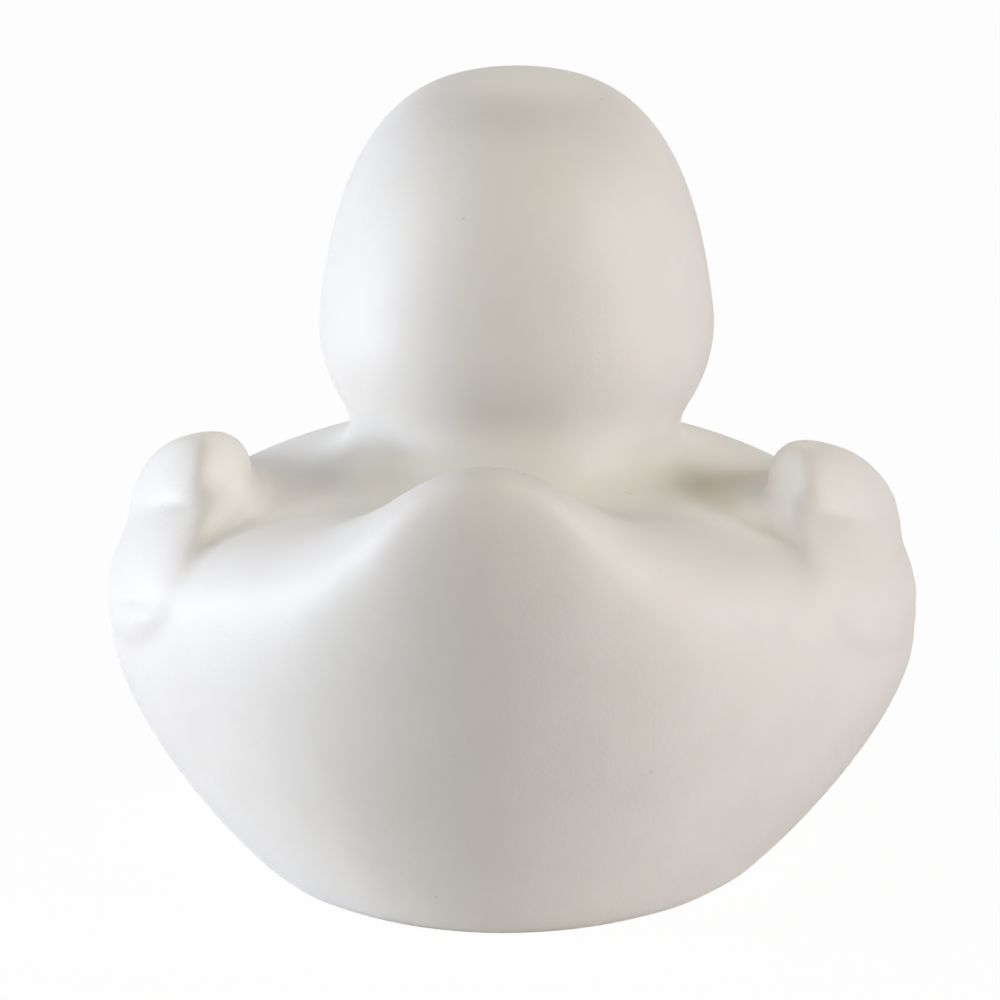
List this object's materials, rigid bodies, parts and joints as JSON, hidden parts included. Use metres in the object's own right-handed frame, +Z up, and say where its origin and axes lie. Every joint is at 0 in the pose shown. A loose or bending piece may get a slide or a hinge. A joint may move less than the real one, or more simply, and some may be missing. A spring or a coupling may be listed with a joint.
{
  "type": "rubber duck",
  "caption": "Hollow moulded vinyl toy duck with an upturned tail, raised feathered wings, a flat base and a small vent.",
  "frame": {"origin": "middle of the flat base, on the surface it stands on", "axes": "+Z up, +Y towards the bill, so the raised tail points to -Y; +X is the duck's right"},
  "size_m": [0.076, 0.0838, 0.0719],
  "materials": {
    "white_vinyl": "matte satin moulded vinyl, plain white"
  },
  "bodies": {
    "root": {"duck": "white_vinyl"}
  },
  "joints": []
}
